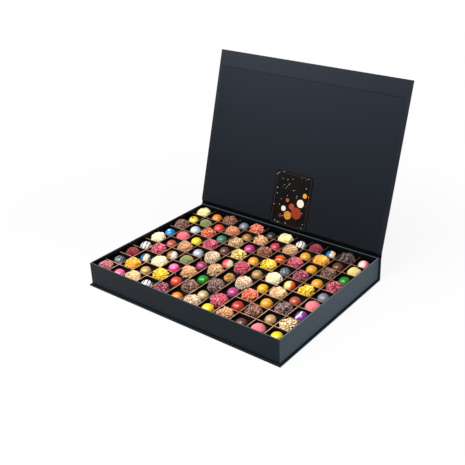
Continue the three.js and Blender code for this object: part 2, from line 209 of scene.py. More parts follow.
# Each sort of chocolate: its finish, main colour and second colour
SORTS = {
    "guava": ("flake", "#c2747e", "#6c2c3a"),
    "raspberry": ("flake", "#cc5268", "#6e142a"),
    "bramble": ("flake", "#a4465c", "#3c0e18"),
    "coral": ("chunk", "#e0704e", "#9c3a22"),
    "passion": ("flake", "#fab838", "#d48a1c"),
    "honey": ("chunk", "#f4d874", "#8c5a20"),
    "lemon": ("chunk", "#fad420", "#cc960c"),
    "vanilla": ("flake", "#fcf4cc", "#e2cc90"),
    "almond": ("chunk", "#f8e2b0", "#a06c34"),
    "caramel": ("chunk", "#e2a674", "#b47a46"),
    "toffee": ("flake", "#d68c5a", "#7e431e"),
    "nougat": ("flake", "#d49c70", "#744628"),
    "milk": ("flake", "#986044", "#36170d"),
    "cocoa": ("flake", "#8a6250", "#22100a"),
    "espresso": ("flake", "#543f3b", "#120908"),
    "mocha": ("flake", "#8e6c68", "#221214"),
    "hazelnut": ("flake", "#f0c894", "#bc8c58"),
    "walnut": ("flake", "#d8b080", "#7c5430"),
    "oat": ("grain", "#ead2b2", "#64402a"),
    "crunch": ("flake", "#d89c40", "#5e340e"),
    "rose": ("powder", "#ee8088", "#cc5262"),
    "berry": ("powder", "#e46a72", "#b83c4a"),
    "cherry": ("dust", "#a42a40", "#540c1a"),
    "pistachio": ("dust", "#a2a86c", "#565e30"),
    "cream": ("dust", "#fff0a0", "#fae088"),
    "custard": ("flake", "#fbf2b8", "#d8c478"),
    "pink": ("shell", "#f06a96", "#c03c68"),
    "orange": ("shell", "#f0882c", "#bc5a0c"),
    "yellow": ("shell", "#f8d424", "#d0a008"),
    "saffron": ("shell", "#f8b820", "#cc8408"),
    "amber": ("shell", "#f0a430", "#c07412"),
    "red": ("shell", "#e0442c", "#a02010"),
    "garnet": ("shell", "#c03a2a", "#7c1a0e"),
    "ruby": ("shell", "#cc3c54", "#881a2c"),
    "magenta": ("shell", "#cc3c86", "#8c205a"),
    "violet": ("shell", "#b24480", "#781f54"),
    "plum": ("shell", "#ac4068", "#6c1e3e"),
    "green": ("shell", "#1e8c20", "#0c5010"),
    "forest": ("pearl", "#4a8a72", "#25564a"),
    "tan": ("shell", "#c69a6a", "#8a6038"),
    "brick": ("shell", "#bc5840", "#782c1a"),
    "brown": ("shell", "#6c3a28", "#321509"),
    "dark": ("shell", "#6a423a", "#321a16"),
    "black": ("shell", "#303032", "#141414"),
    "gold": ("pearl", "#d4a864", "#94702e"),
    "bronze": ("pearl", "#c49a64", "#7c582a"),
    "copper": ("pearl", "#c08844", "#6e4418"),
    "champagne": ("pearl", "#d8c08c", "#a08048"),
    "silver": ("pearl", "#8c8f9c", "#54565e"),
    "mist": ("pearl", "#c4ccd8", "#8c98a8"),
    "lilac": ("pearl", "#dce2ea", "#a8b0be"),
    "night": ("sparkle", "#3e4a56", "#161c24"),
    "ember": ("swirl", "#ec6820", "#962a0c"),
    "marble": ("streak", "#ece6de", "#6a5a52"),
    "zebra": ("streak", "#eae6e4", "#4a3a36"),
    "iris": ("line", "#7c3490", "#f4ecf2"),
    "ribbon": ("half", "#dc5058", "#f0e4b4"),
    "flame": ("half", "#f8d488", "#e04c18"),
    "ocean": ("band", "#0468a4", "#ecd4ac"),
    "ivory": ("half", "#9a6a30", "#f8f0dc"),
    # its white dot is a painted highlight
    "sky": ("dot", "#0484d0", "#f2f8fc"),
    "blush": ("half", "#f8d0c0", "#ee6a8c"),
    # its lighter crown is a painted highlight
    "peony": ("crown", "#e43c7c", "#f280ae"),
    "sunspot": ("dot", "#ecd03c", "#4d3208"),
}

# The assortment, from the front row back and from left to right
ASSORTMENT = (
    "guava pink hazelnut zebra bramble orange oat yellow nougat brown rose yellow",
    "night passion gold lemon red cocoa champagne raspberry garnet milk tan almond",
    "cherry ocean vanilla peony caramel green mocha violet coral amber mocha iris",
    "zebra raspberry ivory pistachio plum walnut crunch oat saffron hazelnut brick rose",
    "vanilla brick nougat mist oat ribbon raspberry bronze vanilla flame lemon silver",
    "sky berry yellow raspberry dark honey amber lemon night bramble amber raspberry",
    "cocoa lilac coral forest walnut magenta milk ember raspberry amber cocoa green",
    "sunspot pistachio red toffee copper caramel ruby walnut amber passion brown cream",
    "custard orange milk silver coral black custard marble cherry ocean espresso blush",
)

# Camera, at the angle of the photograph
CAMERA_PLACE = (0.7238, -0.8711, 0.6730)
CAMERA_TURN = math.radians(35.64)
CAMERA_DOWN = math.radians(25.01)
CAMERA_ROLL = math.radians(-0.52)
CAMERA_LENS = 57.52  # millimetres
CAMERA_SENSOR = 36
CAMERA_SHIFT = (-0.1037, -0.0541)

# Studio
FLOOR_SHADE = (0.6, 0.6, 0.6, 1)
FLOOR_HALF = 6.0
FLOOR_WHITE = 0.9  # share of plain white in the floor beside the object
FLOOR_FADE = (0.3, 0.75)  # metres from the middle, where the floor turns plain white
WORLD_LIGHT = 0.15
LAMPS = {  # place, target, width, height and power of each softbox, and whether it mirrors in gloss
    "top": ((0.08, -0.45, 0.95), (0, 0.05, 0.05), 0.6, 0.6, 13, True),
    "left": ((-0.55, -0.4, 0.62), (0, 0.2, 0.28), 0.5, 0.5, 4.4, True),
    "right": ((1.3, 0.15, 0.07), (0.2, 0, 0.03), 1.2, 0.1, 76, False),
}

# Frames of the lid, spine and base, in which each is a flat panel with its outer face below
hinge = frame["joints"][0]
crease = Vector(hinge["pos_m"])
lid_angle = math.radians(180 - hinge["range_deg"][1])
LID_FRAME = Matrix.Translation(crease) @ Matrix.Rotation(lid_angle, 4, "X")
SPINE_FRAME = Matrix.Translation((0, crease.y, 0)) @ Matrix.Rotation(math.radians(90), 4, "X")
BASE_FRAME = Matrix.Translation((0, crease.y, 0)) @ Matrix.Rotation(math.radians(180), 4, "Z")


def colour(code):
    """Linear RGBA of a hex colour."""
    parts = [int(code[at:at + 2], 16) / 255 for at in (1, 3, 5)]
    return [p / 12.92 if p <= 0.04045 else ((p + 0.055) / 1.055) ** 2.4 for p in parts] + [1.0]


def blended(first, second, share):
    return [a + (b - a) * share for a, b in zip(first, second)]


class Look:
    """A material with one Principled shader, and short calls that add nodes to it."""

    def __init__(self, name, base, roughness, level=0.5):
        self.material = bpy.data.materials.new(name)
        self.material.use_nodes = True
        self.tree = self.material.node_tree
        self.shader = self.tree.nodes["Principled BSDF"]
        self.surface({"Base Color": base, "Roughness": roughness, "Specular IOR Level": level})

    def feed(self, node, values):
        """Sets a node's inputs, or links them to other nodes."""
        for key, value in values.items():
            if isinstance(value, bpy.types.NodeSocket):
                self.tree.links.new(value, node.inputs[key])
            else:
                node.inputs[key].default_value = value

    def surface(self, values):
        """Sets the shader's inputs, or links them to nodes."""
        self.feed(self.shader, values)

    def paint(self, shade):
        self.surface({"Base Color": shade})

    def bump(self, height, distance, strength=1.0):
        values = {"Height": height, "Distance": distance, "Strength": strength}
        self.surface({"Normal": self.add("Bump", values).outputs["Normal"]})

    def add(self, kind, values, **settings):
        node = self.tree.nodes.new("ShaderNode" + kind)
        for key, value in settings.items():
            setattr(node, key, value)
        self.feed(node, values)
        return node

    def millimetres(self):
        """The object's own coordinates, counted in millimetres."""
        place = self.add("TexCoord", {}).outputs["Object"]
        return self.add("VectorMath", {0: place, "Scale": 1 / MM}, operation="SCALE").outputs["Vector"]

    def attribute(self, name, output):
        return self.add("Attribute", {}, attribute_name=name).outputs[output]

    def normal(self):
        return self.add("NewGeometry", {}).outputs["Normal"]

    def part(self, vector, axis):
        """One of a vector's three numbers."""
        return self.add("SeparateXYZ", {"Vector": vector}).outputs[axis]

    def number(self, operation, *numbers):
        """A number worked out from one or two others."""
        return self.add("Math", dict(enumerate(numbers)), operation=operation).outputs["Value"]

    def vector(self, operation, *vectors):
        """A vector worked out from one or two others."""
        return self.add("VectorMath", dict(enumerate(vectors)), operation=operation).outputs["Vector"]

    def measure(self, operation, *vectors):
        """A number worked out from one or two vectors."""
        return self.add("VectorMath", dict(enumerate(vectors)), operation=operation).outputs["Value"]

    def noise(self, place, scale, detail=3.0, roughness=0.5):
        values = {"Vector": place, "Scale": scale, "Detail": detail, "Roughness": roughness}
        return self.add("TexNoise", values).outputs["Fac"]

    def spread(self, value, low, high, to_low=0.0, to_high=1.0):
        """A number stretched from one range to another, and held at its ends."""
        values = {"Value": value, "From Min": low, "From Max": high, "To Min": to_low, "To Max": to_high}
        return self.add("MapRange", values).outputs["Result"]

    def ramp(self, value, stops):
        """A colour ramp. Stops are (position, colour) pairs."""
        node = self.add("ValToRGB", {"Fac": value})
        elements = node.color_ramp.elements
        while len(elements) < len(stops):
            elements.new(0.5)
        for element, (position, shade) in zip(elements, stops):
            element.position = position
            element.color = shade
        return node.outputs["Color"]

    def mix(self, share, first, second, blend="MIX"):
        values = {0: share, 6: first, 7: second}
        return self.add("Mix", values, data_type="RGBA", blend_type=blend).outputs[2]


def paper_look(name, code, roughness, level):
    """Black matte paper with a cool sheen and a fine felt grain."""
    look = Look(name, colour(code), roughness, level)
    look.surface({"Specular Tint": PAPER_SHEEN})
    grain = look.noise(look.millimetres(), scale=1.6, detail=4, roughness=0.6)
    least, most = roughness - GRAIN_CHANGE, roughness + GRAIN_CHANGE
    look.surface({"Roughness": look.spread(grain, 0.3, 0.7, least, most)})
    look.bump(grain, distance=0.06 * MM, strength=0.5)
    return look


def tray_look():
    """The tray's paper, with a painted highlight along the rim, and darker on the faces that look inwards."""
    look = paper_look("tray_paper", TRAY_CODE, COVER_ROUGHNESS, TRAY_LEVEL)
    normal = look.normal()
    # painted highlight on the rim's upward faces
    rim = look.spread(look.part(normal, "Z"), *RIM_HIGHLIGHT_FADE)
    highlighted = look.mix(rim, colour(TRAY_CODE), colour(RIM_HIGHLIGHT_CODE))
    inside = look.spread(look.measure("DOT_PRODUCT", normal, look.millimetres()), *INSIDE_FADE)
    look.paint(look.mix(inside, highlighted, colour(INSIDE_CODE)))
    return look.material


def spine_look():
    """The cover paper, with painted shade where it looks up out of the gutter behind the tray."""
    look = paper_look("spine_paper", COVER_CODE, COVER_ROUGHNESS, COVER_LEVEL)
    up = look.spread(look.part(look.normal(), "Z"), *GUTTER_SHADE_FADE)
    look.paint(look.mix(up, colour(COVER_CODE), colour(GUTTER_SHADE_CODE)))
    look.surface({"Specular IOR Level": look.spread(up, 0.0, 1.0, COVER_LEVEL, GUTTER_SHADE_LEVEL)})
    return look.material


def lining_look(depth):
    """The lid's lining, with a painted shadow line along its fore edge. Its depth is in millimetres."""
    look = paper_look("lining_paper", LINING_CODE, LINING_ROUGHNESS, LINING_LEVEL)
    along = look.part(look.attribute("place", "Vector"), "Y")
    start = depth - FORE_EDGE_SHADOW_WIDTH
    # painted shadow line along the fore edge, with less sheen
    edge = look.spread(along, start, start + FORE_EDGE_SHADOW_SOFT)
    look.paint(look.mix(edge, colour(LINING_CODE), colour(FORE_EDGE_SHADOW_CODE)))
    look.surface({"Specular IOR Level": look.spread(edge, 0.0, 1.0, LINING_LEVEL, FORE_EDGE_SHADOW_LEVEL)})
    return look.material


def fibre_look(name, codes, roughness, scale, detail, depth):
    """Bare board or tape, mottled by its fibres."""
    dark, main, light = (colour(code) for code in codes)
    look = Look(name, main, roughness)
    fibre = look.noise(look.millimetres(), scale, detail, roughness=0.7)
    look.paint(look.ramp(fibre, [(0.3, dark), (0.7, light)]))
    look.bump(fibre, depth)
    return look.material


def board_look():
    return fibre_look("grey_board", BOARD_CODES, roughness=0.9, scale=0.9, detail=6, depth=0.1 * MM)


def tape_look():
    return fibre_look("stay_tape", TAPE_CODES, roughness=0.85, scale=1.2, detail=5, depth=0.05 * MM)


def divider_look(name, thin_axis):
    """Black faces, and bare tan board at every cut edge, with painted shade that dulls the edges towards the
    back and a painted shadow by the back wall. thin_axis is the axis across the card.
    """
    look = Look(name, colour(DIVIDER_CODE), roughness=0.75, level=0.1)
    place = look.millimetres()
    back = look.part(place, "Y")
    fibre = look.noise(place, scale=1.5, detail=5, roughness=0.7)
    tan = look.ramp(fibre, [(0.3, colour(TAN_CODES[0])), (0.7, colour(TAN_CODES[1]))])
    # painted shade: the edges duller towards the back
    shaded_tan = look.mix(look.spread(back, *DEPTH_SHADE_FADE, 0, DEPTH_SHADE_SHARE), tan, colour(WORN_AND_SHADED_CODE))
    wear = look.noise(place, scale=0.05)
    worn = look.mix(look.spread(wear, 0.42, 0.72), shaded_tan, colour(WORN_AND_SHADED_CODE))
    # painted shadow: the edges dark by the back wall
    bare = look.mix(look.spread(back, *BACK_SHADOW_FADE, 0, BACK_SHADOW_SHARE), worn, colour(BACK_SHADOW_CODE))
    dust = look.noise(place, scale=0.75, detail=6, roughness=0.65)
    black = look.ramp(dust, [(0.6, colour(DIVIDER_CODE)), (0.72, colour(DIVIDER_DUST))])
    face = look.number("ABSOLUTE", look.part(look.normal(), thin_axis))
    look.paint(look.mix(look.spread(face, 0.4, 0.6), bare, black))
    look.bump(fibre, 0.08 * MM)
    return look.material


def floor_sheet_look():
    """Black paper under the chocolates, dusted with fine crumbs."""
    paper, fine, coarse = (colour(code) for code in SHEET_CODES)
    look = Look("floor_sheet", paper, roughness=0.8, level=0.1)
    dust = look.noise(look.millimetres(), scale=0.6, detail=7, roughness=0.7)
    look.paint(look.ramp(dust, [(0.58, paper), (0.66, fine), (0.76, coarse)]))
    look.bump(dust, 0.2 * MM)
    return look.material


def card_edge(look, place, width, height):
    """How far a place on the card lies from the nearest edge."""
    half = (width / 2, height / 2, 0)
    folded = look.vector("ABSOLUTE", look.vector("SUBTRACT", place, half))
    inset = look.vector("SUBTRACT", half, folded)
    return look.number("MINIMUM", look.part(inset, "X"), look.part(inset, "Y"))


def card_look(width, height):
    """A dark card printed with plain discs, fine specks and a thin frame. Sizes are in millimetres."""
    look = Look("printed_card", colour(CARD_CODE), roughness=0.5, level=0.06)
    place = look.attribute("place", "Vector")
    cloud = look.noise(place, scale=0.03, detail=1)
    shade = look.ramp(cloud, [(0.35, colour(CARD_GROUND[0])), (0.65, colour(CARD_GROUND[1]))])
    speck = look.add("TexVoronoi", {"Vector": place, "Scale": 0.16}).outputs["Distance"]
    shade = look.mix(look.spread(speck, 0.1, 0.13), colour(CARD_SPECKS), shade)
    for middle, radius, code in CARD_DISCS:
        away = look.measure("DISTANCE", place, middle)
        shade = look.mix(look.spread(away, radius - INK_SOFT, radius + INK_SOFT), colour(code), shade)
    off_line = look.number("SUBTRACT", card_edge(look, place, width, height), CARD_MARGIN)
    line = look.spread(look.number("ABSOLUTE", off_line), *CARD_LINE_FADE)
    look.paint(look.mix(line, colour(CARD_LINE), shade))
    return look.material


def crumb_look(name, main, dark):
    """Broken crumbs: dark in the gaps, partly the core's colour and partly painted shade, each crumb a little
    lighter or darker than the next.
    """
    base, gap = colour(main), colour(dark)
    look = Look(name, base, roughness=0.7, level=0.25)
    light = blended(base, CRUMB_LIGHT, 0.22)
    stops = [(0.1, gap), (0.4, blended(gap, base, 0.6)), (0.68, base), (1.0, light)]
    # per-vertex tone, with painted shade in the gaps
    body = look.ramp(look.attribute("tone_and_shade", "Fac"), stops)
    grain = look.noise(look.attribute("place", "Vector"), scale=16, detail=3, roughness=0.6)
    shade = look.ramp(grain, [(0.3, GRAIN_SHADE), (0.6, WHITE)])
    look.paint(look.mix(1.0, body, shade, blend="MULTIPLY"))
    look.bump(grain, 0.4 * MM)
    return look.material


def powder_look(name, main, dark):
    """A ball rolled in coarse powder."""
    base = colour(main)
    look = Look(name, base, roughness=0.9, level=0.15)
    place = look.attribute("place", "Vector")
    grain = look.noise(place, scale=11, detail=5, roughness=0.75)
    patch = look.noise(place, scale=5, detail=4, roughness=0.6)
    soft = look.ramp(patch, [(0.35, blended(base, colour(dark), 0.7)), (0.6, base)])
    look.paint(look.mix(look.spread(grain, 0.45, 0.7, 0, 0.5), soft, blended(base, WHITE, 0.3)))
    look.bump(grain, 0.9 * MM)
    return look.material


def pearl_look(name, main, dark):
    """A shell dusted with lustre."""
    base = colour(main)
    look = Look(name, base, roughness=0.4)
    look.surface({"Metallic": 0.25})
    place = look.attribute("place", "Vector")
    patch = look.noise(place, scale=3, detail=4)
    speck = look.noise(place, scale=16, detail=4, roughness=0.7)
    soft = look.ramp(patch, [(0.3, blended(base, colour(dark), 0.6)), (0.65, base)])
    look.paint(look.mix(look.spread(speck, 0.55, 0.75, 0, 0.6), soft, blended(base, WHITE, 0.5)))
    look.bump(speck, 0.15 * MM)
    return look.material


def shell(name, main):
    """A moulded shell with a soft gloss, and the places on it."""
    look = Look(name, colour(main), roughness=0.34)
    look.surface({"Coat Weight": 0.5, "Coat Roughness": 0.18})
    place = look.attribute("place", "Vector")
    look.bump(look.noise(place, scale=6, detail=2), 0.15 * MM)
    return look, place


def shell_look(name, main, dark):
    """A plain shell with a slight mottle."""
    look, place = shell(name, main)
    patch = look.noise(place, scale=2.6, detail=4)
    look.paint(look.ramp(patch, [(0.25, blended(colour(main), colour(dark), 0.5)), (0.6, colour(main))]))
    return look.material


def sparkle_look(name, main, dark):
    """A dark shell spattered with pale specks."""
    look, place = shell(name, main)
    speck = look.noise(place, scale=9, detail=4, roughness=0.7)
    look.paint(look.ramp(speck, [(0.44, colour(dark)), (0.52, colour(main)), (0.64, colour(SPATTER_CODE))]))
    return look.material


def swirl_look(name, main, second):
    """A shell with a brushed swirl of a second colour."""
    look, place = shell(name, main)
    values = {"Vector": place, "Scale": 0.62, "Distortion": 2.2, "Detail": 2.0, "Detail Scale": 1.4}
    wave = look.add("TexWave", values, bands_direction="DIAGONAL").outputs["Fac"]
    look.paint(look.mix(look.spread(wave, 0.62, 0.82), colour(main), colour(second)))
    return look.material


def lean(look, place, side):
    """How far a place on the unit ball lies to one side, from -1 to 1."""
    return look.measure("DOT_PRODUCT", place, side)


def wavy_lean(look, place, side):
    """The same, by a wavering hand."""
    waver = look.spread(look.noise(place, scale=2, detail=2), 0.0, 1.0, -HAND_WAVER, HAND_WAVER)
    return look.number("ADD", lean(look, place, side), waver)


def off_band(look, place, side, middle, half):
    """0 in a band round the unit ball, and 1 outside it."""
    away = look.number("SUBTRACT", wavy_lean(look, place, side), middle)
    return look.spread(look.number("ABSOLUTE", away), half, half + BRUSH_SOFT)


def streak_look(name, main, second):
    """A shell with thin lines of a second colour piped over it."""
    look, place = shell(name, main)
    away = look.number("PINGPONG", wavy_lean(look, place, SPRAY_SIDE), STREAK_SPACING / 2)
    look.paint(look.mix(look.spread(away, *STREAK_FADE), colour(second), colour(main)))
    return look.material


def line_look(name, main, second):
    """A shell with one brushed line of a second colour over its top."""
    look, place = shell(name, main)
    off_line = off_band(look, place, LINE_SIDE, LINE_PLACE, LINE_HALF)
    look.paint(look.mix(off_line, colour(second), colour(main)))
    return look.material


def band_look(name, main, second):
    """A shell with a broad band of a second colour over its middle."""
    look, place = shell(name, main)
    outside = off_band(look, place, SPRAY_SIDE, BAND_PLACE, BAND_HALF)
    look.paint(look.mix(outside, colour(second), colour(main)))
    return look.material


def half_look(name, main, second):
    """A shell with a second colour sprayed on one side."""
    look, place = shell(name, main)
    side = look.number("ADD", lean(look, place, SPRAY_SIDE), look.noise(place, scale=2.5, detail=3))
    look.paint(look.mix(look.spread(side, *HALF_FADE), colour(main), colour(second)))
    return look.material


def highlight_crown_look(name, main, second):
    """A shell whose top is painted lighter with a second colour, as a painted highlight."""
    look, place = shell(name, main)
    height = look.number("ADD", look.part(place, "Z"), look.noise(place, scale=3, detail=3))
    look.paint(look.mix(look.spread(height, *HIGHLIGHT_CROWN_FADE), colour(main), colour(second)))
    return look.material


def dot_look(name, main, second):
    """A shell with one dot on its top. On sunspot the dot is part of the pattern; on sky the white dot is a
    painted highlight.
    """
    look, place = shell(name, main)
    away = look.measure("DISTANCE", place, DOT_PLACE)
    look.paint(look.mix(look.spread(away, *DOT_FADE), colour(second), colour(main)))
    return look.material


FINISHES = {
    "chunk": crumb_look,
    "flake": crumb_look,
    "grain": crumb_look,
    "dust": crumb_look,
    "powder": powder_look,
    "pearl": pearl_look,
    "shell": shell_look,
    "sparkle": sparkle_look,
    "swirl": swirl_look,
    "streak": streak_look,
    "line": line_look,
    "band": band_look,
    "half": half_look,
    "crown": highlight_crown_look,
    "dot": dot_look,
}
looks = {name: FINISHES[finish](name, main, second) for name, (finish, main, second) in SORTS.items()}
cover_paper = paper_look("cover_paper", COVER_CODE, COVER_ROUGHNESS, COVER_LEVEL).material
# a copy of the cover paper, darkened as painted shade for the gutter
gutter_shade_paper = paper_look("gutter_shade_paper", GUTTER_SHADE_CODE, COVER_ROUGHNESS, GUTTER_SHADE_LEVEL).material
lid_paper = paper_look("lid_paper", LID_CODE, COVER_ROUGHNESS, COVER_LEVEL).material


def new_piece(name, mesh, materials, body, replaced):
    """A piece that stands for CAD nodes and rides on a body."""
    piece = bpy.data.objects.new(name, mesh)
    bpy.context.scene.collection.objects.link(piece)
    for material in materials:
        mesh.materials.append(material)
    if body:
        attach(piece, body)
    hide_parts(*replaced)
    return piece


def node_box(node, place):
    """A CAD node's lowest and highest corners in a frame of its own."""
    back = place.inverted()
    corners = np.array([back @ vertex.co for vertex in frame["nodes"][node].data.vertices])
    return Vector(corners.min(0)), Vector(corners.max(0))


def arc(inset, height, radius, start, end):
    """Points on an arc of a profile, where an angle of 0 looks inwards and 90 degrees looks up."""
    angles = np.radians(np.linspace(start, end, ARC_STEPS + 1))
    return [(inset + radius * math.cos(a), height + radius * math.sin(a)) for a in angles]


def ring(low, high, inset, height, corner):
    """A rounded rectangle, anticlockwise from above, inset from two opposite corners."""
    radius = max(corner - inset, SHARP_RADIUS)
    left, right = low.x + inset + radius, high.x - inset - radius
    near, far = low.y + inset + radius, high.y - inset - radius
    points = []
    for x, y, start in ((right, far, 0), (left, far, 90), (left, near, 180), (right, near, 270)):
        for a in np.radians(np.linspace(start, start + 90, ARC_STEPS + 1)):
            points.append((x + radius * math.cos(a), y + radius * math.sin(a), height))
    return points


def ring_mesh(name, profile, low, high, corner, closed, place=Matrix.Identity(4)):
    """A profile of (inset, height) points carried round a rectangle. An open one is closed by flat faces."""
    rings = [ring(low, high, inset, height, corner) for inset, height in profile]
    count = len(rings[0])
    faces = []
    for at in range(len(rings) if closed else len(rings) - 1):
        lower, upper = at * count, (at + 1) % len(rings) * count
        for step in range(count):
            after = (step + 1) % count
            faces.append((lower + step, lower + after, upper + after, upper + step))
    if not closed:
        last = (len(rings) - 1) * count
        faces.append(tuple(reversed(range(count))))
        faces.append(tuple(range(last, last + count)))
    mesh = bpy.data.meshes.new(name)
    mesh.from_pydata([place @ Vector(point) for points in rings for point in points], [], faces)
    mesh.shade_smooth()
    return mesh


def panel_profile(bottom, top, turn_in):
    """Paper round a board: over the outer face, round the edge and turned in over the inner face."""
    near = EDGE_RADIUS + FLAT_MARGIN
    outer = [(near, bottom), *arc(EDGE_RADIUS, bottom + EDGE_RADIUS, EDGE_RADIUS, 270, 180)]
    inner = [*arc(EDGE_RADIUS, top - EDGE_RADIUS, EDGE_RADIUS, 180, 90), (near, top)]
    edge = [(turn_in - FLAT_MARGIN, top), (turn_in, top), (turn_in, top - PAPER)]
    under = [(PAPER, top - PAPER), (PAPER, bottom + PAPER), (near, bottom + PAPER)]
    return [*outer, *inner, *edge, *under]


def wrapped_panel(name, node, board, place, body, turn_in, paper):
    """Paper round one board of the case, closed over all of the board's edges."""
    low, high = node_box(node, place)
    board_low, board_high = node_box(board, place)
    low.y = min(low.y, board_low.y - PAPER)
    high.y = max(high.y, board_high.y + PAPER)
    mesh = ring_mesh(name, panel_profile(low.z, high.z, turn_in), low, high, CORNER_RADIUS, False, place)
    new_piece(name, mesh, [paper], body, [node])


def case_papers():
    wrapped_panel("base_paper", "base_cover", "base_board", BASE_FRAME, "box", CASE_TURN_IN, cover_paper)
    wrapped_panel("spine_paper", "spine_cover", "spine_board", SPINE_FRAME, "box", CASE_TURN_IN, spine_look())
    wrapped_panel("lid_paper", "lid_cover", "lid_board", LID_FRAME, "lid", LID_TURN_IN, lid_paper)


def mark_places(mesh, low):
    """Gives a sheet on the lid its places, in millimetres from the sheet's lower left corner."""
    back = LID_FRAME.inverted()
    places = [(back @ vertex.co - low) / MM for vertex in mesh.vertices]
    flat = np.array([(place.x, place.y, 0) for place in places])
    mesh.attributes.new("place", "FLOAT_VECTOR", "POINT").data.foreach_set("vector", flat.ravel())


def lining_sheet():
    low, high = node_box("lid_lining", LID_FRAME)
    top = high.z
    bottom = top - PAPER
    profile = [
        (FLAT_MARGIN, bottom), (0, bottom), (0, top - SHEET_EDGE),
        *arc(SHEET_EDGE, top - SHEET_EDGE, SHEET_EDGE, 180, 90), (FLAT_MARGIN, top),
    ]
    mesh = ring_mesh("lining_sheet", profile, low, high, CORNER_RADIUS, False, LID_FRAME)
    mark_places(mesh, low)
    look = lining_look((high.y - low.y) / MM)
    new_piece("lining_sheet", mesh, [look], "lid", ["lid_lining"])


def flat_profile(bottom, top):
    """A thin sheet with square edges."""
    return [(FLAT_MARGIN, bottom), (0, bottom), (0, top), (FLAT_MARGIN, top)]


def greeting_card():
    low, high = node_box("greeting_card", LID_FRAME)
    mesh = ring_mesh("printed_card", flat_profile(low.z, high.z), low, high, SHARP_RADIUS, False, LID_FRAME)
    mark_places(mesh, low)
    size = (high - low) / MM
    look = card_look(size.x, size.y)
    new_piece("printed_card", mesh, [look], "lid", ["greeting_card"])


def tray_paper():
    """Paper turned under the tray, up its walls, over the rim and down inside to the floor."""
    low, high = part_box("tray_wrap")
    wall = high.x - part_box("tray_right_wall")[0].x + GLUE + PAPER
    leg_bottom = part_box("tray_floor")[1].z + GLUE
    foot, bend, top = FOOT_RADIUS, RIM_RADIUS, high.z
    profile = [
        (TRAY_TURN_IN, low.z), (foot + FLAT_MARGIN, low.z),
        *arc(foot, low.z + foot, foot, 270, 180), (0, low.z + foot + FLAT_MARGIN),
        (0, top - bend - FLAT_MARGIN), *arc(bend, top - bend, bend, 180, 90),
        *arc(wall - bend, top - bend, bend, 90, 0), (wall, top - bend - FLAT_MARGIN),
        (wall, leg_bottom), (wall - PAPER, leg_bottom), (wall - PAPER, top - PAPER), (PAPER, top - PAPER),
        (PAPER, low.z + foot), *arc(foot, low.z + foot, foot - PAPER, 180, 270),
        (TRAY_TURN_IN, low.z + PAPER),
    ]
    mesh = ring_mesh("tray_paper", profile, low, high, CORNER_RADIUS, True)
    new_piece("tray_paper", mesh, [tray_look()], "box", ["tray_wrap"])


def hinge_outline(foot, tip):
    """Points round the bent strip, from its foot: up the outer side and down the side towards the gutter."""
    outer, inner = [], []
    for share in np.linspace(0, 1, HINGE_STEPS + 1):
        middle = foot * (1 - share) ** 2 + tip * share ** 2
        along = (tip * share - foot * (1 - share)).normalized()
        across = Vector((0, along.z, -along.y)) * HINGE_THICKNESS / 2
        outer.append(middle + across)
        inner.append(middle - across)
    return outer + inner[::-1]


def hinge_paper():
    """One strip of paper curved between the spine and the lid, with painted shade on the side towards the
    gutter.
    """
    low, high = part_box("hinge_strip")
    foot = Vector((0, 0, low.z - crease.z))
    tip = LID_FRAME.to_3x3() @ Vector((0, node_box("lid_cover", LID_FRAME)[0].y, 0))
    sides = hinge_outline(foot, tip)
    count = len(sides)
    points = [crease + point + Vector((x, 0, 0)) for x in (low.x, high.x) for point in sides]
    faces = [(at, (at + 1) % count, count + (at + 1) % count, count + at) for at in range(count)]
    for at in range(HINGE_STEPS):
        back = count - 1 - at
        faces.append((at, back, back - 1, at + 1))
        faces.append((count + at, count + at + 1, count + back - 1, count + back))
    mesh = bpy.data.meshes.new("hinge_paper")
    mesh.from_pydata(points, [], faces)
    # the side towards the gutter takes the paper with painted shade
    papers = [cover_paper, gutter_shade_paper]
    piece = new_piece("hinge_paper", mesh, papers, None, ["hinge_strip"])
    for face in mesh.polygons[count // 2:count - 1]:
        face.material_index = papers.index(gutter_shade_paper)
    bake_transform(piece)


def floor_sheet():
    low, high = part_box("truffle_layer")
    profile = flat_profile(low.z, low.z + PAPER)
    mesh = ring_mesh("floor_sheet", profile, low, high, SHARP_RADIUS, False)
    new_piece("floor_sheet", mesh, [floor_sheet_look()], "box", ["truffle_layer"])


def dome(sides, bands):
    """Points and triangles of a unit ball that is cut off flat at its foot."""
    angles = np.linspace(math.pi / 2, FOOT_ANGLE, bands + 1)[1:]
    turns = np.arange(sides) * FULL_TURN / sides
    points = [(0, 0, 1)]
    for angle in angles:
        width, height = math.cos(angle), math.sin(angle)
        points += [(width * math.cos(turn), width * math.sin(turn), height) for turn in turns]
    points.append((0, 0, math.sin(FOOT_ANGLE)))
    foot = len(points) - 1
    faces = []
    for at in range(sides):
        after = (at + 1) % sides
        faces.append((0, 1 + at, 1 + after))
        faces.append((foot, foot - sides + after, foot - sides + at))
        for band in range(bands - 1):
            upper, lower = 1 + band * sides, 1 + (band + 1) * sides
            faces.append((upper + at, lower + at, lower + after))
            faces.append((upper + at, lower + after, upper + after))
    return np.array(points), np.array(faces)


def nugget():
    """Points and triangles of an icosahedron, the shape that every crumb starts from."""
    points = []
    for a in (-1, 1):
        for b in (-GOLDEN_RATIO, GOLDEN_RATIO):
            points += [(0, a, b), (a, b, 0), (b, 0, a)]
    points = np.array(points)
    count = len(points)
    edge = 2.01  # a little over the length of an edge
    near = np.linalg.norm(points[:, None] - points[None], axis=2) < edge
    faces = []
    for a in range(count):
        for b in range(a + 1, count):
            for c in range(b + 1, count):
                if near[a, b] and near[b, c] and near[a, c]:
                    turned = np.dot(np.cross(points[b] - points[a], points[c] - points[a]), points[a]) < 0
                    faces.append((a, c, b) if turned else (a, b, c))
    return points / np.linalg.norm(points[0]), np.array(faces)


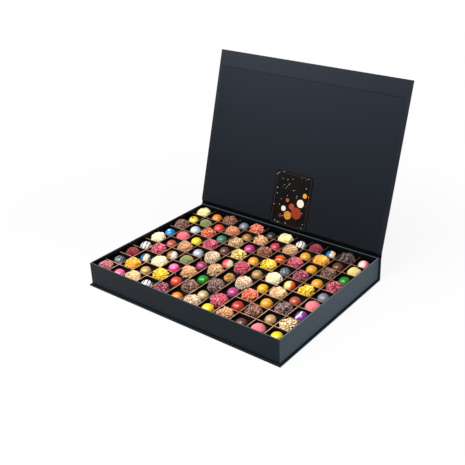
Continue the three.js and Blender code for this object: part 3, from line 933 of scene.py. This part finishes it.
NUGGET = nugget()
PLAIN_DOME = dome(sides=40, bands=18)
CORE_DOME = dome(sides=20, bands=9)


def lumps(points, scale, depth, shift):
    """Points of a unit ball pushed in and out by smooth noise."""
    rise = [noise.noise(Vector(point) * scale + shift) for point in points]
    return points * (1 + depth * np.array(rise))[:, None]


def unit(vectors):
    return vectors / np.linalg.norm(vectors, axis=1)[:, None]


def crumb_normals(count, spacing, random):
    """Directions spread evenly over the ball above its foot, each moved a little."""
    heights = 1 - (np.arange(count) + 0.5) / count * (1 - CRUMB_FOOT)
    turns = np.arange(count) * GOLDEN_ANGLE + random.uniform(0, FULL_TURN)
    flat = np.sqrt(1 - heights ** 2)
    normals = np.stack([flat * np.cos(turns), flat * np.sin(turns), heights], 1)
    return unit(normals + random.normal(0, CRUMB_SCATTER * spacing, normals.shape))


def crumb_axes(normals, random):
    """Each crumb's axes along, across and out of the ball, tilted a little."""
    side = unit(np.cross(normals, random.normal(size=normals.shape)))
    up = unit(normals + random.normal(0, CRUMB_TILT, (len(normals), 1)) * side)
    third = unit(np.cross(up, side))
    return np.stack([np.cross(third, up), third, up], 1)


def crumbs(finish, radius, random):
    """Crumbs all over a ball, as (points, triangles, tones) on the ball's own scale."""
    size = np.array(CRUMB_SIZES[finish]) / radius / 2
    spacing = CRUMB_SPACING * size[1]
    count = int(math.pi * (1 - CRUMB_FOOT) / spacing ** 2)
    normals = crumb_normals(count, spacing, random)
    axes = crumb_axes(normals, random)
    corners, triangles = NUGGET
    shape = corners * size * random.uniform(*CRUMB_STRETCH, (count, 1, 3))
    shape = shape * random.uniform(*CORNER_STRETCH, (count, len(corners), 1))
    depth = random.uniform(*CRUMB_DEPTHS[finish], (count, 1, 1))
    points = np.einsum("nij,njk->nik", shape, axes) + normals[:, None] * depth
    points[..., 2] = np.maximum(points[..., 2], math.sin(FOOT_ANGLE))
    faces = (triangles + len(corners) * np.arange(count)[:, None, None]).reshape(-1, 3)
    # painted shade: the deeper a crumb lies in the coat, the darker its tone
    relief = np.clip((np.linalg.norm(points, axis=2) - GAP_SHADE_REACH) / (CREST_REACH - GAP_SHADE_REACH), 0, 1)
    tones = random.uniform(*TONE_RANGE, (count, 1)) * (GAP_SHADE_TONE + (1 - GAP_SHADE_TONE) * relief)
    return points.reshape(-1, 3), faces, tones.ravel()


def filled_out(points):
    """A crumb coat that reaches the ball's full width and height, with its few farthest crumbs pulled in."""
    most, farthest = COATED_REACH
    reach = np.linalg.norm(points[:, :2], axis=1)
    points = points * most / np.percentile(reach, REACH_CENTILE)
    reach = np.linalg.norm(points[:, :2], axis=1)
    points[:, :2] *= (farthest / np.maximum(reach, farthest))[:, None]
    points[:, 2] = np.minimum(points[:, 2], np.percentile(points[:, 2], TOP_CENTILE))
    return points


def coated_ball(finish, is_large, radius, shift, random):
    """A ball in crumbs: points, triangles, tones, and its width and height as shares of full size."""
    dusted = finish == "dust" or not is_large
    width = random.uniform(*(DUSTED_SHARE if dusted else COATED_SHARE))
    height = width if dusted else COATED_HEIGHT
    core, core_faces = CORE_DOME
    bits, bit_faces, bit_tones = crumbs(finish, radius, random)
    points = lumps(np.vstack([core * CORE_RADIUS, bits]), COAT_LUMPS, CRUMB_LUMPS[finish], shift)
    faces = np.vstack([core_faces, bit_faces + len(core)])
    tones = np.concatenate([np.zeros(len(core)), bit_tones])
    return filled_out(points), faces, tones, width, height


def plain_ball(finish, shift, random):
    """A smooth or powdered ball, given in the same way."""
    powdered = finish == "powder"
    share = random.uniform(*(POWDER_SHARE if powdered else SHELL_SHARE))
    ball, faces = PLAIN_DOME
    points = lumps(ball, *(POWDER_LUMPS if powdered else SHELL_LUMPS), shift)
    return points, faces, np.zeros(len(points)), share, share


def chocolate(finish, is_large, random):
    """One chocolate on the origin: its points, triangles, tones and places on a unit ball."""
    radius = (TRUFFLE_DIAMETER if is_large else PRALINE_DIAMETER) / 2
    full_height = TRUFFLE_HEIGHT if is_large else PRALINE_HEIGHT
    shift = Vector(random.uniform(-NOISE_REACH, NOISE_REACH, 3))
    if finish in CRUMB_SIZES:
        points, faces, tones, width, height = coated_ball(finish, is_large, radius, shift, random)
    else:
        points, faces, tones, width, height = plain_ball(finish, shift, random)
    solid = places = points
    if finish not in PLACED_FINISHES:
        spin = Matrix.Rotation(random.uniform(0, FULL_TURN), 3, "Z")
        solid = points @ np.array(spin).T
        places = points + np.array(shift)
    low, high = solid[:, 2].min(), solid[:, 2].max()
    scale = (radius * width, radius * width, full_height * height / (high - low))
    return (solid - (0, 0, low)) * scale, faces, tones, places


def chocolate_row(row, names, columns, depth, floor):
    """A row of chocolates as one mesh, with a material for each sort in it."""
    random = np.random.default_rng(SEED + row)
    sorts = sorted(set(names))
    parts = []
    total = 0
    for column, name in enumerate(names):
        is_large = (row + column) % 2 == 0
        solid, faces, tones, places = chocolate(SORTS[name][0], is_large, random)
        reach = TRUFFLE_WANDER if is_large else PRALINE_WANDER
        wander = random.uniform(-reach, reach, 2)
        if row in SLID_ROWS:
            wander[1] += LANE_SLIDES.get(column, 0)
        solid = solid + (columns[column] + wander[0], depth + wander[1], floor)
        parts.append((solid, faces + total, tones, places, np.full(len(faces), sorts.index(name))))
        total += len(solid)
    points, faces, tones, places, slots = (np.concatenate(part) for part in zip(*parts))
    mesh = bpy.data.meshes.new(f"chocolates_row_{row + 1}")
    mesh.from_pydata(points, [], faces)
    mesh.shade_smooth()
    new_piece(mesh.name, mesh, [looks[name] for name in sorts], "box", ["truffle_layer"])
    mesh.polygons.foreach_set("material_index", slots.astype(np.int32))
    mesh.attributes.new("tone_and_shade", "FLOAT", "POINT").data.foreach_set("value", tones)
    mesh.attributes.new("place", "FLOAT_VECTOR", "POINT").data.foreach_set("vector", places.ravel())
    mesh.update()


def cell_lines(first_divider, last_divider, count, axis):
    """Middles of the cells along one axis, from the dividers between them."""
    first = sum(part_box(first_divider), Vector())[axis] / 2
    last = sum(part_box(last_divider), Vector())[axis] / 2
    pitch = (last - first) / (count - 2)
    return [first + (at - 0.5) * pitch for at in range(count)]


def all_chocolates():
    columns = cell_lines("column_divider_1", "column_divider_11", len(ASSORTMENT[0].split()), axis=0)
    depths = cell_lines("row_divider_1_left", "row_divider_8", len(ASSORTMENT), axis=1)
    sheet_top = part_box("truffle_layer")[0].z + PAPER
    for row, names in enumerate(ASSORTMENT):
        chocolate_row(row, names.split(), columns, depths[row], sheet_top)


def dress_kept_nodes():
    """CAD nodes keep their shapes and take materials."""
    grey_board = board_look()
    kinds = {
        "row_divider": divider_look("row_divider_card", thin_axis="Y"),
        "column_divider": divider_look("column_divider_card", thin_axis="X"),
        "corner_stay": tape_look(),
    }
    for name, node in frame["nodes"].items():
        material = next((look for start, look in kinds.items() if name.startswith(start)), grey_board)
        node.data.materials.clear()
        node.data.materials.append(material)


def add_camera():
    data = bpy.data.cameras.new("camera")
    data.sensor_width = CAMERA_SENSOR
    data.lens = CAMERA_LENS
    data.shift_x, data.shift_y = CAMERA_SHIFT
    camera = bpy.data.objects.new("camera", data)
    bpy.context.scene.collection.objects.link(camera)
    turn = Matrix.Rotation(CAMERA_TURN, 4, "Z") @ Matrix.Rotation(math.pi / 2 - CAMERA_DOWN, 4, "X")
    camera.matrix_world = Matrix.Translation(CAMERA_PLACE) @ turn @ Matrix.Rotation(CAMERA_ROLL, 4, "Z")
    bpy.context.scene.camera = camera


def add_softbox(name, place, target, width, height, power, mirrors):
    data = bpy.data.lights.new(name, "AREA")
    data.shape = "RECTANGLE"
    data.size = width
    data.size_y = height
    data.energy = power
    lamp = bpy.data.objects.new(name, data)
    bpy.context.scene.collection.objects.link(lamp)
    lamp.visible_glossy = mirrors
    lamp.location = place
    lamp.rotation_euler = (Vector(target) - Vector(place)).to_track_quat("-Z", "Y").to_euler()


def floor_look():
    """A pale matte floor that fades to plain white away from the object and keeps its shadow."""
    look = Look("floor", FLOOR_SHADE, roughness=0.9)
    away = look.measure("LENGTH", look.add("TexCoord", {}).outputs["Object"])
    fade = look.spread(away, *FLOOR_FADE, FLOOR_WHITE, 1.0)
    seen = look.add("LightPath", {}).outputs["Is Camera Ray"]
    share = look.number("MULTIPLY", fade, seen)
    white = look.add("Emission", {"Color": WHITE, "Strength": 1.0}).outputs["Emission"]
    mixed = look.add("MixShader", {0: share, 1: look.shader.outputs["BSDF"], 2: white}).outputs["Shader"]
    look.feed(look.tree.nodes["Material Output"], {"Surface": mixed})
    return look.material


def add_floor():
    mesh = bpy.data.meshes.new("floor")
    corners = [(x * FLOOR_HALF, y * FLOOR_HALF, 0) for x, y in ((-1, -1), (1, -1), (1, 1), (-1, 1))]
    mesh.from_pydata(corners, [], [(0, 1, 2, 3)])
    mesh.materials.append(floor_look())
    floor = bpy.data.objects.new("floor", mesh)
    bpy.context.scene.collection.objects.link(floor)


def add_world():
    """White to the camera, and a dimmer light from all round."""
    world = bpy.data.worlds.new("studio")
    world.use_nodes = True
    bpy.context.scene.world = world
    nodes, links = world.node_tree.nodes, world.node_tree.links
    background = nodes["Background"]
    background.inputs["Color"].default_value = WHITE
    strength = nodes.new("ShaderNodeMapRange")
    strength.inputs["To Min"].default_value = WORLD_LIGHT
    strength.inputs["To Max"].default_value = 1.0
    links.new(nodes.new("ShaderNodeLightPath").outputs["Is Camera Ray"], strength.inputs["Value"])
    links.new(strength.outputs["Result"], background.inputs["Strength"])


case_papers()
lining_sheet()
tray_paper()
hinge_paper()
greeting_card()
floor_sheet()
all_chocolates()
dress_kept_nodes()

add_floor()
add_world()
for name, lamp in LAMPS.items():
    add_softbox(name, *lamp)
add_camera()
bpy.context.scene.view_settings.view_transform = "Standard"
